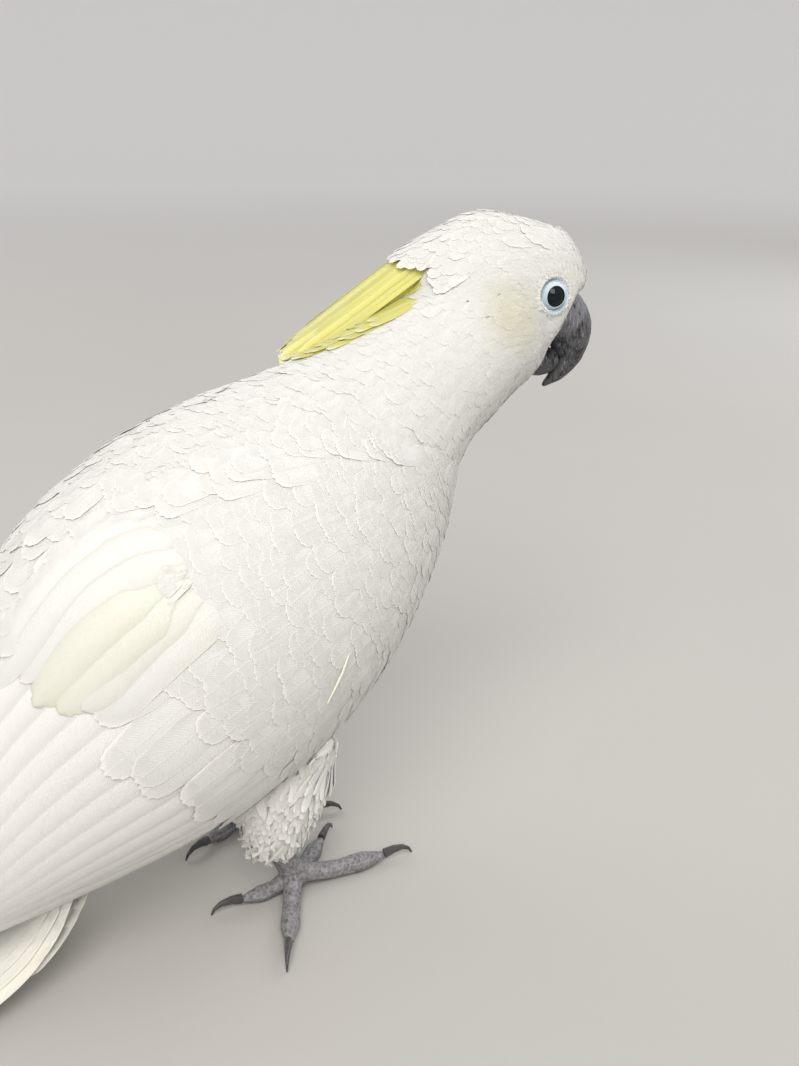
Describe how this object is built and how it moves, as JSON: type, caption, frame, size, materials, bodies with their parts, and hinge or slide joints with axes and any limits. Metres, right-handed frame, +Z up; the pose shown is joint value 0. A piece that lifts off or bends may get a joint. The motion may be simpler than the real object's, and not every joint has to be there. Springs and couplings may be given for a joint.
{
  "type": "white cockatoo",
  "caption": "Life-size sulphur-crested cockatoo standing still with folded wings, crest laid back, head turned a little aside and tail resting on the floor.",
  "frame": {"origin": "middle of the base of the whole bird, on the floor", "axes": "+X ahead along the body, +Y to the bird's left, +Z up"},
  "size_m": [0.4312, 0.1574, 0.2913],
  "materials": {
    "plumage": "soft feathers",
    "crest": "soft feathers",
    "bill": "dull horn with powder",
    "eye": "wet gloss",
    "foot": "scaly skin",
    "claw": "horn"
  },
  "bodies": {
    "root": {"bill_lower": "bill", "bill_upper": "bill", "claw_left_1": "claw", "claw_left_2": "claw", "claw_left_3": "claw", "claw_left_4": "claw", "claw_right_1": "claw", "claw_right_2": "claw", "claw_right_3": "claw", "claw_right_4": "claw", "crest": "plumage", "eye_left": "eye", "eye_right": "eye", "foot_left": "foot", "foot_right": "foot", "head": "plumage", "neck": "plumage", "tail": "plumage", "thigh_left": "plumage", "thigh_right": "plumage", "trunk": "plumage", "wing_left": "plumage", "wing_right": "plumage"}
  },
  "joints": []
}
